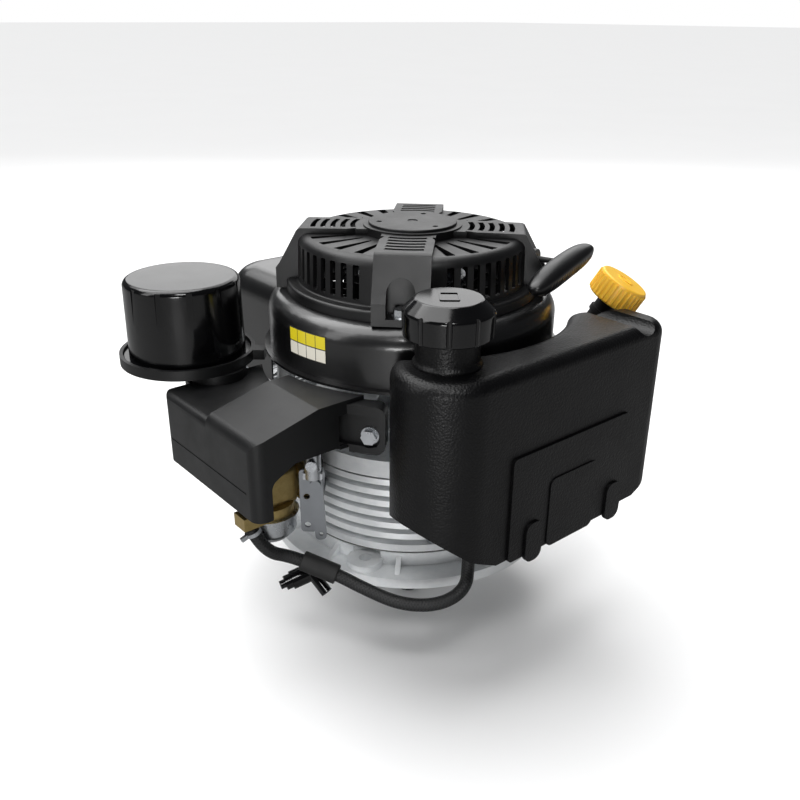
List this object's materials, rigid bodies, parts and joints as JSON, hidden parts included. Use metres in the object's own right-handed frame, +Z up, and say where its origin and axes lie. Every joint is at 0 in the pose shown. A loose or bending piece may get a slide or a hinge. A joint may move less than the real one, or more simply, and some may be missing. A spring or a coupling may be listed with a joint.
{
  "type": "small gasoline engine",
  "caption": "Vertical-shaft small gasoline engine with recoil starter, side fuel tank, canister air filter and round mounting flange.",
  "frame": {"origin": "centre of the mounting bolt circle on the crankshaft axis, in the underside of the mounting flange", "axes": "+Z up the crankshaft towards the recoil starter, +Y along the cylinder to its head, the fuel tank on the -Y side"},
  "size_m": [0.3591, 0.363, 0.337],
  "materials": {
    "cast_aluminium": "die cast, satin",
    "steel": "machined",
    "zinc": "bright zinc plated",
    "cast_iron": "honed",
    "bronze": "sintered",
    "black_enamel": "gloss black enamel",
    "black_nylon": "moulded, fine grain",
    "black_gloss": "moulded, gloss",
    "tank_poly": "blow moulded, pebbled",
    "yellow_plastic": "moulded, satin",
    "rubber": "matt",
    "braided_rubber": "braided cover",
    "gasket": "fibre",
    "paper": "pleated paper",
    "carb_metal": "golden passivated",
    "dark_steel": "heat resistant black",
    "rope": "braided cord",
    "label": "printed film, blank",
    "spring_steel": "blued"
  },
  "bodies": {
    "engine": {"sump": "cast_aluminium", "sump_gasket": "gasket", "sump_screws": "zinc", "crankcase": "cast_aluminium", "cylinder_liner": "cast_iron", "main_bushes": "bronze", "oil_seals": "rubber", "head_gasket": "gasket", "cylinder_head": "cast_aluminium", "head_bolts": "zinc", "valve_cover": "black_enamel", "spark_plug": "zinc", "muffler": "dark_steel", "muffler_guard": "dark_steel", "ignition_coil": "black_nylon", "blower_housing": "black_enamel", "recoil_housing": "black_nylon", "centre_disc": "black_nylon", "rope_guide": "black_gloss", "recoil_spring": "spring_steel", "air_box": "black_nylon", "filter_base": "black_nylon", "filter_element": "paper", "carburettor": "carb_metal", "float_bowl": "zinc", "intake_pipe": "black_nylon", "fuel_tank": "tank_poly", "fuel_outlet": "black_gloss", "oil_filler_tube": "black_nylon", "fuel_hose": "braided_rubber", "hose_sleeve": "rubber", "drain_connector": "black_gloss", "hose_clamps": "zinc", "control_plate": "zinc", "cable_clamp": "zinc", "m6_bolts": "zinc", "label": "label"},
    "rotor": {"crankshaft": "steel", "crank_gear": "steel", "flywheel": "cast_aluminium", "cooling_fan": "black_nylon", "starter_cup": "zinc", "flywheel_nut": "zinc"},
    "cam": {"camshaft": "steel"},
    "piston_set": {"piston": "cast_aluminium", "piston_rings": "cast_iron", "piston_pin": "steel", "connecting_rod": "cast_aluminium"},
    "handle": {"recoil_handle": "black_nylon", "recoil_rope": "rope", "rope_knot": "rope"},
    "pulley": {"recoil_pulley": "black_nylon", "rope_winding": "rope"},
    "fuel_cap_set": {"fuel_cap": "black_gloss", "cap_seal": "rubber"},
    "oil_cap_set": {"oil_cap": "yellow_plastic", "dipstick": "yellow_plastic"},
    "filter_lid": {"filter_cover": "black_gloss"},
    "governor": {"governor_lever": "zinc"},
    "throttle": {"throttle_shaft": "zinc"}
  },
  "joints": [
    {"name": "crank_spin", "type": "hinge", "parent": "engine", "child": "rotor", "pos_m": [0, 0, 0], "axis": [0, 0, 1], "continuous": true},
    {"name": "cam_spin", "type": "hinge", "parent": "engine", "child": "cam", "pos_m": [-0.04725, 0, 0], "axis": [0, 0, 1], "continuous": true},
    {"name": "piston_stroke", "type": "slide", "parent": "engine", "child": "piston_set", "axis": [0, 1, 0], "range_m": [-0.014, 0]},
    {"name": "recoil_pull", "type": "slide", "parent": "engine", "child": "handle", "axis": [0.2921, -0.9564, 0], "range_m": [0, 0.06], "stiffness_N_per_m": 80, "springref_m": -0.05},
    {"name": "pulley_spin", "type": "hinge", "parent": "engine", "child": "pulley", "pos_m": [0, 0, 0.232], "axis": [0, 0, 1], "range_deg": [-92, 0]},
    {"name": "fuel_cap_lift", "type": "slide", "parent": "engine", "child": "fuel_cap_set", "axis": [0, 0, 1], "range_m": [0, 0.03]},
    {"name": "oil_cap_pull", "type": "slide", "parent": "engine", "child": "oil_cap_set", "axis": [0.3039, -0.3909, 0.8688], "range_m": [0, 0.2]},
    {"name": "filter_cover_lift", "type": "slide", "parent": "engine", "child": "filter_lid", "axis": [0, 0, 1], "range_m": [0, 0.065]},
    {"name": "governor_turn", "type": "hinge", "parent": "engine", "child": "governor", "pos_m": [-0.12616, -0.04296, 0.092], "axis": [-0.6429, -0.7659, 0], "range_deg": [-12, 12], "stiffness_Nm_per_rad": 0.08},
    {"name": "throttle_turn", "type": "hinge", "parent": "engine", "child": "throttle", "pos_m": [-0.158, -0.018, 0.1], "axis": [0, 0, 1], "range_deg": [-31, 31]}
  ],
  "couplings": [
    {"joint": "cam_spin", "follows": "crank_spin", "ratio": -0.5},
    {"joint": "pulley_spin", "follows": "recoil_pull", "rad_per_m": -26.11},
    {"joint": "throttle_turn", "follows": "governor_turn", "ratio": 2.5}
  ]
}
